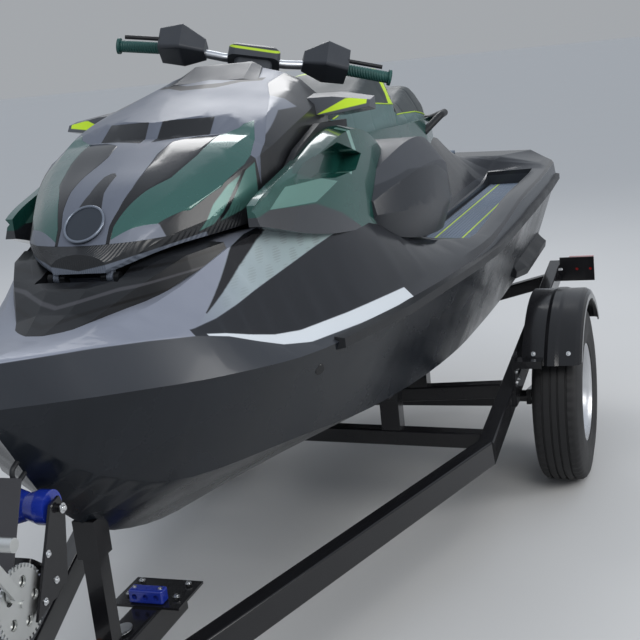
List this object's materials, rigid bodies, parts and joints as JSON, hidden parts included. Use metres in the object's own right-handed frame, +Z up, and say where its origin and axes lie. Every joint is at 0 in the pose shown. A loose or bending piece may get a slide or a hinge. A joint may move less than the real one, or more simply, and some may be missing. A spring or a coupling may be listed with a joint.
{
  "type": "sport personal watercraft on a road trailer",
  "caption": "Sport personal watercraft with turning handlebar, jet pump and opening hood, parked on a single-axle trailer with winch and jack.",
  "frame": {"origin": "middle of the footprint on the ground under the parked trailer", "axes": "+X to port, +Y aft along the hull, +Z up"},
  "size_m": [1.68, 4.385, 1.6709],
  "materials": {
    "hull_black": "satin moulded",
    "deck_silver": "pearl metallic",
    "hood_blue_grey": "satin metallic",
    "green_metallic": "deep metallic gloss",
    "gloss_black": "gloss",
    "black_plastic": "grained",
    "dark_grey_plastic": "grained",
    "seat_fabric": "marine vinyl",
    "mat_foam": "ribbed foam",
    "grip_rubber": "soft",
    "bar_alloy": "bead blasted",
    "mirror_pane": "polished",
    "engine_alloy": "cast",
    "pump_alloy": "cast",
    "impeller_steel": "brushed",
    "frame_black": "powder coat gloss",
    "zinc": "zinc plated",
    "tyre_rubber": "matt",
    "rim_grey": "silver paint",
    "roller_blue": "polyurethane",
    "bunk_carpet": "marine carpet",
    "strap_web": "webbing",
    "lamp_red": "lens"
  },
  "bodies": {
    "root": {"hull": "hull_black", "deck": "deck_silver", "engine_block": "engine_alloy", "rub_rails": "black_plastic", "deck_mats": "mat_foam", "deck_fittings": "dark_grey_plastic", "bow_fascia": "black_plastic", "shroud": "black_plastic", "side_fairings": "green_metallic", "knee_pods": "dark_grey_plastic", "seat_base": "green_metallic", "seat_front": "seat_fabric", "seat_rear": "seat_fabric", "grab_handle": "black_plastic", "pump_housing": "pump_alloy", "ride_plate": "pump_alloy", "intake_grate": "pump_alloy", "sponsons": "black_plastic", "rails": "frame_black", "tongue": "frame_black", "crossmembers": "frame_black", "bunks": "bunk_carpet", "axle": "frame_black", "frame_brackets": "frame_black", "fenders": "gloss_black", "winch_post": "frame_black", "winch_frame": "zinc", "winch_gear": "zinc", "winch_crank": "zinc", "winch_strap": "strap_web", "coupler": "frame_black", "tail_lamps": "lamp_red", "keel_pad": "roller_blue"},
    "hood": {"hood_centre": "hood_blue_grey", "hood_wings": "green_metallic", "hood_sides": "deck_silver", "hood_scoops": "gloss_black", "hood_chin": "black_plastic", "hood_badge": "dark_grey_plastic", "gauge_pod": "dark_grey_plastic", "mirrors": "dark_grey_plastic", "mirror_glass": "mirror_pane"},
    "steering": {"steering_column": "dark_grey_plastic", "handlebar_pad": "dark_grey_plastic", "handlebar_tube": "bar_alloy", "hand_grips": "grip_rubber", "hand_controls": "dark_grey_plastic", "hand_levers": "black_plastic"},
    "glovebox": {"glovebox_lid": "black_plastic"},
    "nozzle": {"steering_nozzle": "pump_alloy"},
    "gate": {"reverse_gate": "pump_alloy"},
    "propeller": {"impeller": "impeller_steel"},
    "port_wheel": {"wheel_port": "rim_grey", "tyre_port": "tyre_rubber"},
    "starboard_wheel": {"wheel_starboard": "rim_grey", "tyre_starboard": "tyre_rubber"},
    "roller": {"bow_roller": "roller_blue"},
    "jack": {"tongue_jack": "zinc"}
  },
  "joints": [
    {"name": "handlebar_turn", "type": "hinge", "parent": "root", "child": "steering", "pos_m": [0, 0.4125, 1.545], "axis": [0, 0.5878, 0.809], "range_deg": [-46.6, 3.4]},
    {"name": "nozzle_steer", "type": "hinge", "parent": "root", "child": "nozzle", "pos_m": [0, 2.0175, 0.562], "axis": [0, 0, -1], "range_deg": [-37.3, 2.8]},
    {"name": "gate_swing", "type": "hinge", "parent": "root", "child": "gate", "pos_m": [0, 1.9275, 0.622], "axis": [-1, 0, 0], "range_deg": [0, 85]},
    {"name": "impeller_spin", "type": "hinge", "parent": "root", "child": "propeller", "pos_m": [0, 1.7915, 0.562], "axis": [0, 1, 0], "continuous": true},
    {"name": "hood_open", "type": "hinge", "parent": "root", "child": "hood", "pos_m": [0, -0.6705, 1.15], "axis": [1, 0, 0], "range_deg": [0, 50]},
    {"name": "glovebox_open", "type": "hinge", "parent": "root", "child": "glovebox", "pos_m": [0, 0.4675, 1.39934], "axis": [1, 0, 0], "range_deg": [0, 45]},
    {"name": "port_wheel_spin", "type": "hinge", "parent": "root", "child": "port_wheel", "pos_m": [0.745, 1.1075, 0.305], "axis": [1, 0, 0], "continuous": true},
    {"name": "starboard_wheel_spin", "type": "hinge", "parent": "root", "child": "starboard_wheel", "pos_m": [-0.745, 1.1075, 0.305], "axis": [1, 0, 0], "continuous": true},
    {"name": "bow_roller_spin", "type": "hinge", "parent": "root", "child": "roller", "pos_m": [0, -0.99387, 0.76836], "axis": [1, 0, 0], "continuous": true},
    {"name": "jack_swing", "type": "hinge", "parent": "root", "child": "jack", "pos_m": [0.112, -1.7625, 0.319], "axis": [1, 0, 0], "range_deg": [0, 90]}
  ],
  "couplings": [
    {"joint": "nozzle_steer", "follows": "handlebar_turn", "ratio": 0.8}
  ]
}
